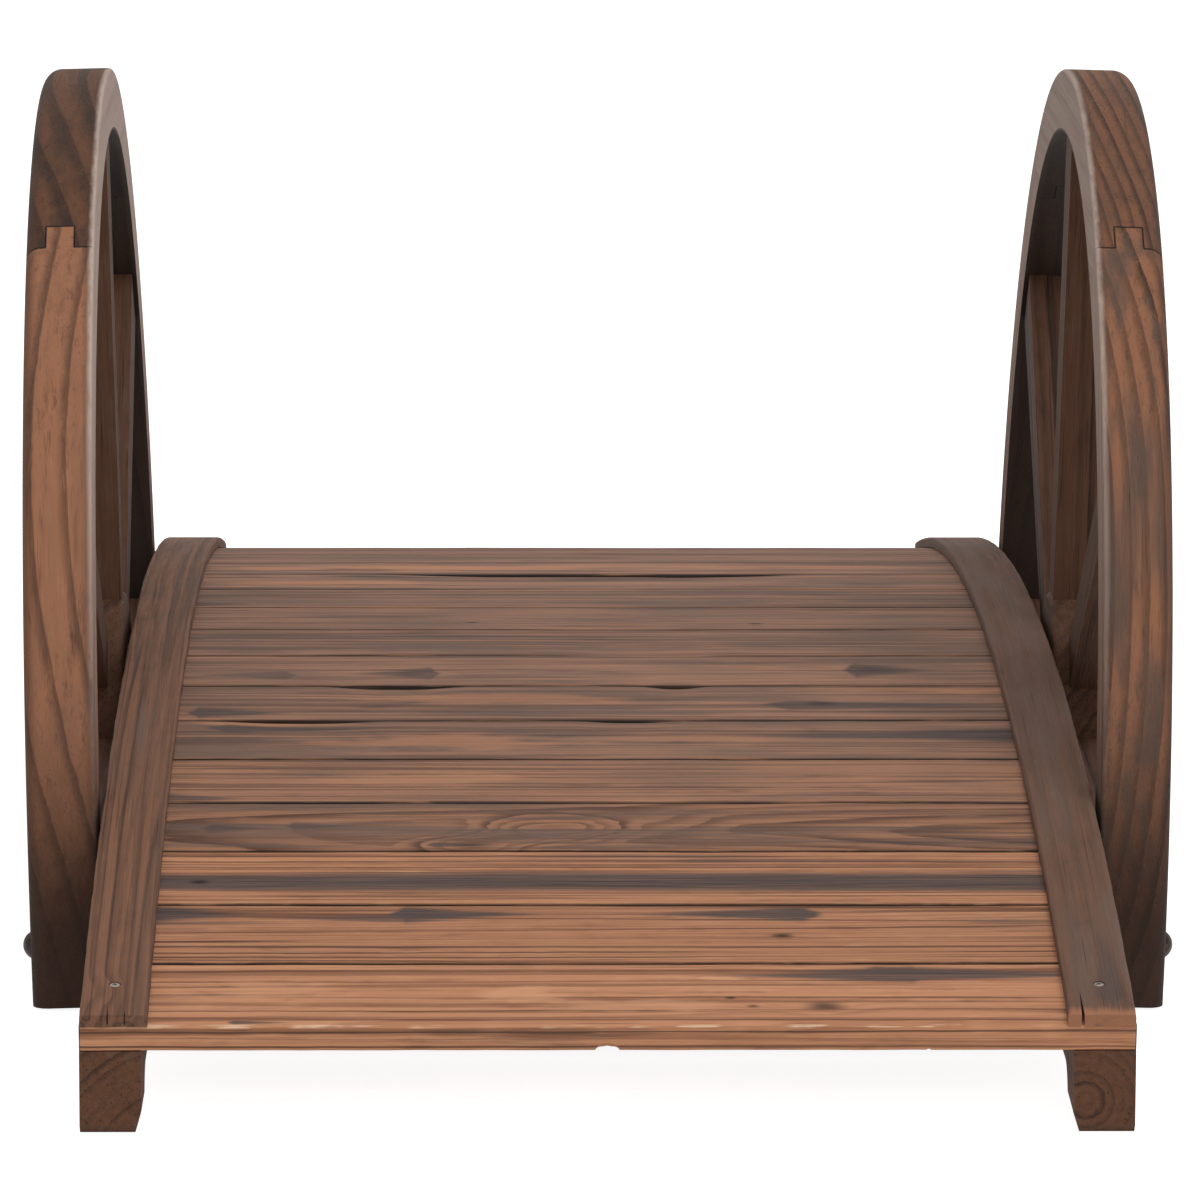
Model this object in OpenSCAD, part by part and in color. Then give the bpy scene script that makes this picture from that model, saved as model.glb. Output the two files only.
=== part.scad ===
// Garden moon bridge: a low arched plank deck on two stringers, with half a
// wagon wheel bolted to each side as its rail.
// X runs across the bridge, Y along it, Z up. The origin is on the ground below the crown.

/* [Deck] */
// Length of the deck along its chord
deck_len = 1520; // [1300:10:1700]
// Height of the deck's crown above its ends
deck_rise = 82; // [60:1:110]
// Height of the deck's ends above the ground
deck_end_z = 61; // [50:1:80]
// Length of each plank, which is the deck's width
plank_len = 580; // [500:10:660]
// Thickness of a plank
plank_t = 15; // [10:0.5:22]
// Number of planks
plank_count = 18; // [14:1:22]
// Open joint between two planks
plank_gap = 1; // [0.6:0.1:3]
// Easing along a plank's upper edges
plank_ease = 1.5; // [0.5:0.1:3]
// Width of the slat bent over each end of the planks
strip_w = 37; // [25:1:50]
// Thickness of that slat
strip_t = 7; // [4:0.5:10]

/* [Stringers] */
// Width of a stringer
stringer_w = 34; // [25:1:45]
// How far a stringer's end stands behind the deck's end
stringer_setback = 4; // [1:0.5:12]
// Length of the flat foot at each end of a stringer
foot_len = 45; // [30:5:120]
// Height of the level cut between a stringer's feet
under_rise = 27; // [15:1:28]
// Rounding of that cut's upper corners
under_round = 20; // [5:1:25]
// Chamfer on the lower corner of a stringer's end
foot_chamfer = 5; // [2:0.5:10]
// Width of the bevel along a foot's lower inner edge
foot_bevel_w = 3.5; // [1:0.5:8]
// Height of that bevel
foot_bevel_h = 13; // [5:1:20]

/* [Wheels] */
// Outer radius of a wheel's rim
rim_r = 461; // [420:1:500]
// Depth of the rim along its radius
rim_depth = 39; // [30:1:50]
// Thickness of the rim, across the bridge
wheel_t = 41.5; // [30:0.5:50]
// Rounding of the rim's outer corner on the outside of the bridge
rim_round = 10; // [4:0.5:10]
// Easing of the rim's outer corner on the inside
rim_ease = 2.5; // [1:0.5:5]
// Height of the rim's centre above the ground
rim_centre_z = 39; // [30:1:50]
// Clearance between the rim's ends and the ground
rim_clear = 2.5; // [2:0.5:8]
// Outward lean of each wheel, in degrees
wheel_lean = 1.5; // [0:0.1:3]
// Angle of each joint in the rim above the level, in degrees
joint_angle = 56.5; // [50:0.5:70]
// Length of the tongue of a rim joint, along the rim
tongue_len = 19; // [12:1:30]
// Width of that tongue
tongue_w = 17; // [10:0.5:22]

/* [Spokes and hub] */
// Radius of the half-round hub
hub_r = 79; // [55:1:95]
// Rounding of the hub's corners
hub_round = 5; // [2:0.5:9]
// Height of the base rail's top, where the hub sits
rail_top_z = 88; // [80:1:115]
// Height of the base rail's section
rail_h = 42; // [30:1:55]
// Angle of the outer spokes above the level, in degrees
spoke_angle = 35; // [30:1:45]
// Width of a spoke at the rim
spoke_w_rim = 46; // [34:1:56]
// Width of a spoke at the hub
spoke_w_hub = 32; // [24:1:40]
// Thickness of a spoke
spoke_t = 26; // [18:1:28]
// How far a front spoke stands back from the wheel's inner face
front_setback = 10; // [0:1:11]
// How far a middle spoke does
middle_setback = 2; // [0:1:11]
// How far a back spoke does
back_setback = 3; // [0:1:11]

/* [Bolts] */
// Height of a bolt above the ground
bolt_z = 37; // [36:1:48]
// Radius of a bolt's shank
bolt_r = 3; // [2:0.5:5]
// Radius of a bolt's domed head
bolt_head_r = 8; // [6:0.5:10]
// Height of that head
bolt_head_h = 5; // [3:0.5:7]
// Radius of the washer
washer_r = 8; // [6.5:0.5:10]
// Thickness of the washer
washer_t = 1.5; // [1:0.1:2.5]
// Thickness of the nut
nut_t = 5; // [4:0.5:7]
// Bolt end left standing out of the nut
bolt_end = 3; // [1:0.5:6]

/* [Hidden] */
// Clearance between pieces that are seated on each other
seat = 0.1;
// Clearance of a tongue in its slot, and between the rim's pieces
joint_gap = 0.4;
// Clearance of a bolt in its bore
bore_gap = 0.2;
// Clearance between a washer and the stringer
washer_gap = 0.3;
// Overlap that keeps cuts clean
over = 1;
// Corner-to-flat ratio of a hexagon nut, and its flat half-width for each radius of shank
nut_r = bolt_r * 1.65 / cos(30);

deck_half = deck_len / 2;
crown_z = deck_end_z + deck_rise;
// Arc of the planks' top faces, and its centre
deck_r = (deck_half * deck_half + deck_rise * deck_rise) / (2 * deck_rise);
deck_centre_z = crown_z - deck_r;
deck_half_angle = asin(deck_half / deck_r);
plank_step = 2 * deck_half_angle / plank_count;
plank_under_r = deck_r - plank_t;
plank_w = 2 * plank_under_r * tan(plank_step / 2) - plank_gap;
// The slats clear the corners of the flat planks
strip_r = deck_r / cos(plank_step / 2) + seat;
stringer_top_r = plank_under_r - seat;
stringer_half = deck_half - stringer_setback;
under_half = stringer_half - foot_len;
half_w = plank_len / 2;

rim_inner_r = rim_r - rim_depth;
rim_mid_r = rim_r - rim_depth / 2;
// Heights in a wheel's own plane, from the rim's centre
rim_foot = rim_clear - rim_centre_z;
hub_q = rail_top_z - rim_centre_z;
bolt_q = bolt_z - rim_centre_z;
bolt_p = sqrt(rim_mid_r * rim_mid_r - bolt_q * bolt_q);
foot_sweep = asin(-rim_foot / rim_inner_r) + 1;
tongue_sweep = tongue_len / rim_mid_r * 180 / PI;
gap_sweep = joint_gap / rim_mid_r * 180 / PI;
tongue_x = (wheel_t - tongue_w) / 2;
// From a wheel's inner face to the washer's seat on the stringer
washer_seat = (stringer_w + (bolt_z - rim_clear) * sin(wheel_lean)) / cos(wheel_lean) + washer_gap;

SIDES = ["left", "right"];
ENDS = ["front", "back"];
RIM_PARTS = ["front", "top", "back"];
SPOKES = ["front", "middle", "back"];
function plank_name(i) = str("plank_", i < 9 ? "0" : "", i + 1);
$fn = 180;
// Facets of a full turn of the deck's long arcs
arc_fn = 1440;

plank_colour = "#8a5a41";
strip_colour = "#6b4a3c";
stringer_colour = "#5e4033";
rim_colour = "#7d5038";
spoke_colour = "#65463a";
hub_colour = "#6f4c3c";
bolt_colour = "#3c3733";

// The pieces of one side, drawn at +X, put on the side that is named
module on_side(side) {
    mirror([side == "left" ? 1 : 0, 0, 0]) children();
}

// Turns a drawing in the plane of Y and Z, with its thickness along X
module upright() {
    rotate([90, 0, 90]) children();
}

// A wheel's own plane: the origin at the rim's centre on its inner face
module wheel_plane() {
    translate([half_w, 0, rim_clear])
        rotate([0, wheel_lean, 0])
            translate([0, 0, -rim_foot])
                upright() children();
}

// A rectangle from the origin with round corners at its far side in x, a low and a high one
module eased_rect(w, h, low, high) {
    square([w - low, h / 2]);
    translate([0, low]) square([w - high, h - low]);
    translate([0, low]) square([w, h - low - high]);
    translate([w - low, low]) circle(r = low, $fn = 48);
    translate([w - high, h - high]) circle(r = high, $fn = 48);
}

// A plank: flat, with eased upper edges, square to the deck's arc at its place
module plank(i) {
    turn = deck_half_angle - (i + 0.5) * plank_step;
    half = plank_w / 2;
    color(plank_colour)
        translate([-half_w, 0, deck_centre_z])
            rotate([turn, 0, 0])
                translate([0, 0, plank_under_r])
                    upright() linear_extrude(plank_len)
                        polygon([
                            [-half, 0], [half, 0],
                            [half, plank_t - plank_ease], [half - plank_ease, plank_t],
                            [plank_ease - half, plank_t], [-half, plank_t - plank_ease]
                        ]);
}

// The cut in a stringer's underside: level between the feet, with round upper corners
module under_cut() {
    inner_half = under_half - under_round;
    translate([-under_half, -over]) square([2 * under_half, under_rise - under_round + over]);
    translate([-inner_half, -over]) square([2 * inner_half, under_rise + over]);
    for (end = [-1, 1])
        translate([end * inner_half, under_rise - under_round]) circle(r = under_round);
}

// A stringer: its top follows the deck, its underside stands on two short feet
module stringer() {
    color(stringer_colour) difference() {
        translate([half_w - stringer_w, 0, 0]) upright() linear_extrude(stringer_w)
            difference() {
                intersection() {
                    translate([-stringer_half, 0]) square([2 * stringer_half, crown_z]);
                    translate([0, deck_centre_z]) circle(r = stringer_top_r, $fn = arc_fn);
                }
                under_cut();
                for (end = [-1, 1])
                    translate([end * stringer_half, 0]) rotate(45)
                        square(foot_chamfer * sqrt(2), center = true);
            }
        translate([half_w - stringer_w, 0, 0]) rotate([90, 0, 0])
            linear_extrude(deck_len, center = true) polygon([
                [-over, -over], [foot_bevel_w, -over], [foot_bevel_w, 0],
                [0, foot_bevel_h], [-over, foot_bevel_h]
            ]);
        bolt_bores();
    }
}

// A slat bent over the planks' ends, with its upper edges eased
module edge_strip() {
    color(strip_colour)
        translate([half_w - strip_w, 0, deck_centre_z]) upright()
            rotate(90 - deck_half_angle)
                rotate_extrude(angle = 2 * deck_half_angle, $fn = arc_fn)
                    translate([strip_r, 0]) eased_rect(strip_t, strip_w, strip_t / 4, strip_t / 4);
}

// Part of the rim from one angle to another, in the wheel's plane
module rim_arc(from, to) {
    rotate(from) rotate_extrude(angle = to - from)
        translate([rim_inner_r, 0]) eased_rect(rim_depth, wheel_t, rim_ease, rim_round);
}

// The block that a tongue fills past its shoulder, grown by a clearance
module tongue_block(from, to, gap) {
    rotate(from) rotate_extrude(angle = to - from)
        translate([rim_inner_r - over, tongue_x - gap]) square([rim_depth + 2 * over, tongue_w + 2 * gap]);
}

// The upper piece of the rim, slotted at both ends for the tongues
module rim_top() {
    slot = tongue_sweep + gap_sweep;
    color(rim_colour) wheel_plane() difference() {
        rim_arc(joint_angle + gap_sweep, 180 - joint_angle - gap_sweep);
        tongue_block(joint_angle - 1, joint_angle + slot, joint_gap);
        tongue_block(180 - joint_angle - slot, 181 - joint_angle, joint_gap);
    }
}

// A lower piece of the rim at the back end: its foot is cut level, its top has the tongue
module rim_side() {
    color(rim_colour) wheel_plane() difference() {
        union() {
            rim_arc(-foot_sweep, joint_angle);
            intersection() {
                rim_arc(joint_angle - 1, joint_angle + tongue_sweep);
                tongue_block(joint_angle - 1, joint_angle + tongue_sweep, 0);
            }
        }
        translate([0, rim_foot - rim_r, -over]) cube([2 * rim_r, rim_r, wheel_t + 2 * over]);
        bolt_bore();
    }
}

// A tapered spoke at an angle and a setback, seated on the hub and in the rim
module spoke(angle, setback) {
    reach = rim_r + hub_q;
    taper = (spoke_w_rim - spoke_w_hub) / (rim_inner_r - hub_r);
    function half_width(s) = (spoke_w_hub + taper * (s - hub_r)) / 2;
    color(spoke_colour) wheel_plane() translate([0, 0, setback]) linear_extrude(spoke_t)
        difference() {
            intersection() {
                translate([0, hub_q]) rotate(angle) polygon([
                    [0, -half_width(0)], [reach, -half_width(reach)],
                    [reach, half_width(reach)], [0, half_width(0)]
                ]);
                circle(r = rim_inner_r - seat);
            }
            translate([0, hub_q]) circle(r = hub_r + seat);
        }
}

// The half-round hub, standing on the base rail
module hub() {
    color(hub_colour) wheel_plane()
        translate([0, hub_q + seat, 0]) rotate_extrude(angle = 180)
            eased_rect(hub_r, wheel_t, hub_round, hub_round);
}

// The rail across the foot of the wheel, from rim to rim
module base_rail() {
    color(spoke_colour) wheel_plane() linear_extrude(wheel_t) intersection() {
        translate([-rim_r, hub_q - rail_h]) square([2 * rim_r, rail_h]);
        circle(r = rim_inner_r - seat);
    }
}

// The bore for the bolt at the back end, through the rim and the stringer
module bolt_bore() {
    translate([bolt_p, bolt_q, -2 * stringer_w])
        cylinder(r = bolt_r + bore_gap, h = 2 * stringer_w + wheel_t + over, $fn = 48);
}

// Both bores, in place for the stringer
module bolt_bores() {
    for (end = [0, 1])
        mirror([0, end, 0]) wheel_plane() bolt_bore();
}

// A coach bolt at the back end: domed head outside, washer and nut on the stringer
module bolt() {
    dome_r = (bolt_head_r * bolt_head_r + bolt_head_h * bolt_head_h) / (2 * bolt_head_h);
    inner_end = washer_seat + washer_t + nut_t + bolt_end;
    color(bolt_colour) wheel_plane() translate([bolt_p, bolt_q, 0]) {
        translate([0, 0, wheel_t]) intersection() {
            translate([0, 0, bolt_head_h - dome_r]) sphere(r = dome_r);
            cylinder(r = bolt_head_r, h = bolt_head_h);
        }
        translate([0, 0, -inner_end]) cylinder(r = bolt_r, h = inner_end + wheel_t, $fn = 48);
        translate([0, 0, -washer_seat - washer_t]) cylinder(r = washer_r, h = washer_t, $fn = 48);
        translate([0, 0, -washer_seat - washer_t - nut_t]) cylinder(r = nut_r, h = nut_t, $fn = 6);
    }
}

// The pieces of the front end are drawn at the back and turned over
module at_end(end) {
    mirror([0, end == "front" ? 1 : 0, 0]) children();
}

for (i = [0:plank_count - 1])
    plank(i);
for (s = SIDES) {
    on_side(s) stringer();
    on_side(s) edge_strip();
    on_side(s) rim_top();
    on_side(s) spoke(90, middle_setback);
    on_side(s) hub();
    on_side(s) base_rail();
    for (e = ENDS) {
        on_side(s) at_end(e) rim_side();
        on_side(s) at_end(e) spoke(spoke_angle, e == "front" ? front_setback : back_setback);
        on_side(s) at_end(e) bolt();
    }
}
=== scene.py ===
"""A garden moon bridge in charred and brushed fir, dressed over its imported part."""

import math
import random

import bmesh
import bpy
from mathutils import Matrix, Vector


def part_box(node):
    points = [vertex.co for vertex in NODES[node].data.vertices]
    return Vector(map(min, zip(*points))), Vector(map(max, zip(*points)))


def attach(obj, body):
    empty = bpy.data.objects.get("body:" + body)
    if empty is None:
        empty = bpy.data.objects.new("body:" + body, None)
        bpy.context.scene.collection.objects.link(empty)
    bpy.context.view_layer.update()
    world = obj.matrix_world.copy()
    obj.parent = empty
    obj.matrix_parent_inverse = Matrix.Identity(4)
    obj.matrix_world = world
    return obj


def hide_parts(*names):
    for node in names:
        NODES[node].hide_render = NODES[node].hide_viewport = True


bl_info = {
    "name": "Garden Moon Bridge",
    "version": (1, 0, 0),
    "blender": (4, 5, 0),
    "location": "View3D > Sidebar > Moon Bridge",
    "description": "Lays the boards and slats of a garden moon bridge and finishes its wood",
    "category": "Object",
}

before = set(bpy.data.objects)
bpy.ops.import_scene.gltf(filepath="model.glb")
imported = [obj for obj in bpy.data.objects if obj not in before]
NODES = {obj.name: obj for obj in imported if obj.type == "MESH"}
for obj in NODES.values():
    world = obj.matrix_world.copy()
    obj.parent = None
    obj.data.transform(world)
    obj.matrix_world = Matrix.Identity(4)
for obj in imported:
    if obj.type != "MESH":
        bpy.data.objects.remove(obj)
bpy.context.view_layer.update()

MM = 0.001
SIDES = {"left": -1, "right": 1}
FIRST_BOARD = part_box("plank_01")
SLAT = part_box("right_edge_strip")


def paint(red, green, blue):
    """A colour as seen on a screen, from 0 to 255, as the linear one that shaders take."""
    seen = [c / 255 for c in (red, green, blue)]
    return tuple(c / 12.92 if c <= 0.04045 else ((c + 0.055) / 1.055) ** 2.4 for c in seen)


def tint(base, level, other=None, share=0.0):
    """A colour made darker or lighter, with a share of another one mixed in first."""
    mixed = Vector(base)
    if other is not None:
        mixed = mixed.lerp(Vector(other), share)
    return tuple(mixed * level)


def colour(name, description, default):
    return bpy.props.FloatVectorProperty(
        name=name, description=description, subtype="COLOR", size=3, min=0, max=1, default=default
    )


def length(name, description, default):
    return bpy.props.FloatProperty(
        name=name, description=description, unit="LENGTH", min=0, precision=4, default=default
    )


class BridgeSizes(bpy.types.PropertyGroup):
    """Sizes of the boards, slats and screws."""

    deck_length: length("Deck length", "Length of the deck along its chord", 1.52)
    deck_rise: length("Deck rise", "Height of the crown above the deck's ends", 0.082)
    deck_end: length("Deck end", "Height of the deck's ends above the ground", 0.061)
    board_length: length("Board length", "Length of a deck board", FIRST_BOARD[1].x - FIRST_BOARD[0].x)
    board_thickness: length("Board thickness", "Thickness of a deck board", 0.015)
    board_joint: length("Board joint", "Open joint between two boards", 0.0012)
    board_ease: length("Board easing", "Easing along a board's upper edges", 0.0016)
    board_count: bpy.props.IntProperty(
        name="Boards", description="Number of deck boards", min=1, default=18
    )
    slat_width: length("Slat width", "Width of an edge slat", SLAT[1].x - SLAT[0].x)
    slat_thickness: length("Slat thickness", "Thickness of an edge slat", 0.007)
    screw_radius: length("Screw radius", "Radius of a slat screw's head", 0.0028)
    screw_place: length("Screw place", "Distance of a slat screw from the middle of the deck", 0.722)
    wheel_radius: length("Wheel radius", "Outer radius of a wheel's rim", 0.461)
    wheel_depth: length("Rim depth", "Depth of a wheel's rim along its radius", 0.039)
    wheel_thickness: length("Rim thickness", "Thickness of a wheel's rim", 0.0415)
    wheel_height: length("Wheel centre", "Height of a wheel's centre above the ground", 0.039)
    tongue_length: length("Tongue length", "Length of the tongues that join a rim's pieces", 0.019)
    tongue_width: length("Tongue width", "Width of those tongues", 0.017)
    wheel_lean: bpy.props.FloatProperty(
        name="Wheel lean",
        description="Outward lean of a wheel",
        subtype="ANGLE",
        default=math.radians(1.5),
    )


class BridgeColours(bpy.types.PropertyGroup):
    """Colours of the wood and the steel."""

    honey: colour("Honey", "Pale growth of the brushed boards", paint(188, 132, 98))
    # Wheat is also the colour of painted highlights on the boards' crests and front edges.
    wheat: colour("Wheat", "Worn spots of the brushed boards", paint(214, 160, 122))
    # Flax is also a painted highlight on the front board's eased front edge.
    flax: colour("Flax", "Bare wood on a chipped edge", paint(232, 196, 164))
    russet: colour("Russet", "Dark growth of the brushed boards", paint(86, 50, 34))
    dun: colour("Dun", "Pale growth of the greyed boards", paint(150, 112, 92))
    umber: colour("Umber", "Dark growth of the greyed boards", paint(76, 56, 47))
    cinnamon: colour("Cinnamon", "Pale growth of the wheels", paint(158, 108, 80))
    walnut: colour("Walnut", "Dark growth of the wheels", paint(58, 41, 33))
    # Painted sheen: pale grey laid on the rims' inner faces, strongest near the top, in place of the
    # surround's reflection.
    painted_sheen: colour("Smoke", "Weathered inner faces of the rims", paint(186, 165, 153))
    # Peat darkens the rims towards their bottom ends.
    peat: colour("Peat", "Damp feet of the rims", paint(42, 28, 22))
    ash: colour("Ash", "Grey film on the weathered wood", paint(104, 84, 74))
    soot: colour("Soot", "Wood that is still charred", paint(78, 68, 66))
    pitch: colour("Pitch", "Knots, cracks and deep char", paint(30, 23, 20))
    steel: colour("Steel", "Bolts and screws", paint(46, 41, 38))
    zinc: colour("Zinc", "Heads of the screws", paint(150, 142, 134))
    rust: colour("Rust", "Rust on the bolts and screws", paint(84, 52, 36))
    floor: colour("Floor", "Floor below the bridge", paint(236, 236, 236))


class Shade:
    """A number in a finish; sums with it add Math nodes."""

    def __init__(self, finish, socket):
        self.finish = finish
        self.socket = socket

    def other(self, output):
        """Another output of the same node."""
        return Shade(self.finish, self.socket.node.outputs[output])

    def maths(self, operation, *values):
        settings = {"operation": operation}
        return self.finish.add("ShaderNodeMath", settings, dict(enumerate(values)))

    def __add__(self, value):
        return self.maths("ADD", self, value)

    __radd__ = __add__

    def __sub__(self, value):
        return self.maths("SUBTRACT", self, value)

    def __rsub__(self, value):
        return self.maths("SUBTRACT", value, self)

    def __mul__(self, value):
        return self.maths("MULTIPLY", self, value)

    __rmul__ = __mul__

    def __truediv__(self, value):
        return self.maths("DIVIDE", self, value)

    def __abs__(self):
        return self.maths("ABSOLUTE", self)

    def above(self, value):
        return self.maths("MAXIMUM", self, value)

    def rise(self, low, high):
        """0 below low, 1 above high, smooth between them; it falls where low is the higher."""
        settings = {"interpolation_type": "SMOOTHSTEP"}
        return self.finish.add("ShaderNodeMapRange", settings, {0: self, 1: low, 2: high})


class Finish:
    """A material or a surround that is built node by node."""

    def __init__(self, owner):
        owner.use_nodes = True
        self.owner = owner
        self.tree = owner.node_tree
        self.tree.nodes.clear()

    def add(self, kind, settings=None, inputs=None, output=0):
        """Adds a node: first its settings, then the values or links of its sockets."""
        node = self.tree.nodes.new(kind)
        for key, value in (settings or {}).items():
            setattr(node, key, value)
        for key, value in (inputs or {}).items():
            if isinstance(value, Shade):
                self.tree.links.new(value.socket, node.inputs[key])
            else:
                node.inputs[key].default_value = value
        return Shade(self, node.outputs[output]) if node.outputs else None

    def vector(self, x, y, z):
        return self.add("ShaderNodeCombineXYZ", None, {0: x, 1: y, 2: z})

    def size(self, vector):
        return self.add("ShaderNodeVectorMath", {"operation": "LENGTH"}, {0: vector}, "Value")

    def noise(self, vector, detail=2.0, roughness=0.55):
        sockets = {"Vector": vector, "Scale": 1.0, "Detail": detail, "Roughness": roughness}
        return self.add("ShaderNodeTexNoise", None, sockets)

    def blend(self, factor, first, second):
        """Two colours mixed; the second shows where the factor is 1."""
        pair = [c if isinstance(c, Shade) else (*c, 1.0) for c in (first, second)]
        sockets = {0: factor, 6: pair[0], 7: pair[1]}
        return self.add("ShaderNodeMix", {"data_type": "RGBA"}, sockets, 2)

    def close(self, surface):
        self.add("ShaderNodeOutputMaterial", None, {"Surface": surface})
        return self.owner


def axes(place, turn):
    """Lengthwise, crosswise and upright places in mm in the frame of a straight piece."""

    def read(finish):
        point = finish.add("ShaderNodeTexCoord", output="Object")
        sockets = {"Vector": point, "Location": place, "Rotation": turn, "Scale": (MM, MM, MM)}
        local = finish.add("ShaderNodeMapping", {"vector_type": "TEXTURE"}, sockets)
        x = finish.add("ShaderNodeSeparateXYZ", None, {0: local})
        return x, x.other(1), x.other(2)

    return read


def arc_axes(middle, centre, radius):
    """The same on a slat that is bent about a level line across the bridge."""

    def read(finish):
        across, y, z = axes((middle, 0, centre), (0, 0, 0))(finish)
        along = y.maths("ARCTAN2", y, z) * (radius / MM)
        depth = finish.size(finish.vector(y, z, 0.0)) - radius / MM
        return along, across, depth

    return read


def fir(name, read, grain, tone, marks=None, joint=None, rim=None):
    """Charred and brushed fir. The grain says where the pith runs, how far apart the rings are
    and how they wander, the tone what colours show, and the marks where this piece is worn."""
    f = Finish(bpy.data.materials.new(name))
    c = bpy.context.scene.bridge_colours
    marks = marks or {}
    x, y, z = read(f)
    seed = grain["seed"]

    def blotch(along, across, detail=2.0, shift=0.0):
        """Noise drawn out along the grain; its middle value is 0."""
        spot = f.vector(x / along + (seed * 3.7 + shift), y / across + seed * 1.3, z / across)
        return f.noise(spot, detail) - 0.5

    broad = grain.get("broad", 1.0)
    fine = blotch(60, 0.8, 2.0, 2.2)
    streak = blotch(210, 4.2 * broad, 3.0, 7.7)
    pencil = blotch(420, 1.7 * broad, 1.0, 13.0)
    figure = blotch(26 * broad, 11 * broad, 2.0, 17.0)

    wander = grain.get("wander", 6.0)
    run = grain.get("run", 380)
    tilt = grain.get("tilt", (0.0, 0.0))
    off_y = y - grain["pith"][0] - x * tilt[0] + blotch(run, 55, 1.0) * wander
    off_z = z - grain["pith"][1] - x * tilt[1] + blotch(run * 0.8, 70, 1.0, 5.1) * wander
    rings = f.size(f.vector(off_y, off_z, 0.0))

    core = None
    if "knots" in marks:
        warp = blotch(26, 11, 1.0, 9.3) * 0.6
    for knot_x, knot_y, knot_r, pull, dark in marks.get("knots", ()):
        spot = f.vector((x - knot_x) / (knot_r * 1.8), (y - knot_y) / knot_r, 0.0)
        reach = f.size(spot) + warp
        rings = rings + reach.rise(3.6, 0.2) * (pull * grain["spacing"])
        eye = reach.rise(1.5, 0.0) * dark
        core = eye if core is None else core.above(eye)

    count = rings / grain["spacing"] + streak * grain.get("ragged", 0.5)
    part = count.maths("FRACT", count)
    whole = count.maths("FLOOR", count)
    odds = f.add("ShaderNodeTexWhiteNoise", {"noise_dimensions": "1D"}, {"W": whole + seed * 11.0})
    even = tone.get("even", 0.12)
    late = part.rise(*tone.get("late", (0.25, 0.88))) * part.rise(1.0, 0.94)
    late = late * (odds * odds * (1 - even) + even)

    body = f.blend(late * tone["contrast"], tone["pale"], tone["dark"])
    thin = (pencil + fine * 0.4).rise(0.1, 0.3)
    body = f.blend(thin * tone.get("lines", 0.8), body, tone["dark"])
    drawn = (streak + fine * 0.7).rise(0.04, 0.42)
    body = f.blend(drawn * tone.get("streaky", 0.6), body, tone["dark"])
    brushed = (streak * 0.6 + fine * 0.9 + figure * 0.9).rise(-0.02, -0.4)
    body = f.blend(brushed * 0.4, body, tone["worn"])
    patches = (figure + streak * 0.6).rise(0.03, 0.4)
    body = f.blend(patches * tone.get("patchy", 0.4), body, tone["dark"])

    stripe = tone.get("stripe", 1.0)
    stain = blotch(130, grain.get("patch", 16), 1.0, 41.0) + streak * 0.3 * stripe
    stain = stain.rise(-0.12, 0.22) * tone.get("stain", 0.0)
    body = f.blend(stain, body, tone.get("stained", c.ash))
    if "bare" in marks:
        bare_x, start_x, strength = marks["bare"]
        worn = (x + streak * 12.0 + fine * 6.0).rise(start_x, bare_x) * strength
        body = f.blend(worn, body, c.cinnamon)
    film = blotch(240, 30, 3.0, 21.0) + streak * 0.6 * stripe + fine * 0.2
    film = film.rise(0.14 - tone["grey"] * 0.5, 0.36 - tone["grey"] * 0.5)
    body = f.blend(film * 0.8, body, c.ash)

    furrow = 0.0
    deep = blotch(340, 22, 1.0, 61.0)
    if "furrow" in tone:
        ridge = blotch(900, tone["ridge"], 1.0, 29.0) + fine * 0.05
        furrow = abs(ridge).rise(0.06, 0.012) * (deep + streak * 0.4).rise(-0.24, 0.02)
        # Painted highlight: a pale line on the crest beside each furrow, standing in for light on the
        # brushed relief.
        crest = abs(ridge - 0.1).rise(0.07, 0.0) * (figure + deep).rise(-0.04, 0.2)
        body = f.blend(crest * tone["furrow"] * 0.7, body, tone["worn"])
        body = f.blend(furrow * tone["furrow"], body, tone["dark"])
    for line_y, half_y, strength, lean in marks.get("lines", ()):
        line = abs(y - line_y - x * lean + streak * 4.0 + figure * 1.5).rise(half_y, half_y * 0.3)
        line = line * (streak + deep * 1.5).rise(-0.35, 0.0)
        body = f.blend(line * strength, body, tone["dark"])
    for spot_x, spot_y, half_x, half_y, strength in marks.get("pale", ()):
        reach = f.size(f.vector((x - spot_x) / half_x, (y - spot_y) / half_y, 0.0))
        spot = (reach + figure * 1.6 + streak).rise(1.1, 0.4) * strength
        body = f.blend(spot, body, tone["worn"])

    charred = blotch(260, 16, 3.0, 33.0) + streak * 0.7 + fine * 0.35 + pencil * 0.3
    charred = charred.rise(0.42 - tone["char"] * 0.4, 0.62 - tone["char"] * 0.4)
    if "streaks" in marks:
        feather = streak * 0.9 + fine * 0.5 + pencil * 0.6
    for wide_x, tip_x, mark_y, half_y, strength in marks.get("streaks", ()):
        way = (x - wide_x) / (tip_x - wide_x)
        reach = way.above(way * -7.0) + abs((y - mark_y) / half_y) + feather
        charred = charred.above(reach.rise(1.16, 0.6) * strength)
    body = f.blend(charred * (0.9 + fine * 0.6 + pencil * 0.4), body, c.soot)
    body = f.blend(charred * (streak + fine).rise(0.02, 0.3) * 0.5, body, c.pitch)

    if core is not None:
        body = f.blend(core, body, c.pitch)
    # Rim and joint marks below add painted shade, painted highlights and a painted sheen as well as
    # wear.
    if rim:
        body = rim_wear_and_shading(f, body, rim, (x, y, z), streak, late)
    if joint:
        body = edge_wear_and_shading(f, body, joint, (x, y, z), (streak, figure, fine), tone, marks)

    cracks = blotch(120, 1.2, 1.0, 51.0).rise(0.22, 0.27) * streak.rise(0.02, 0.1)
    body = f.blend(cracks * tone.get("cracks", 0.8), body, c.pitch)

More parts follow.
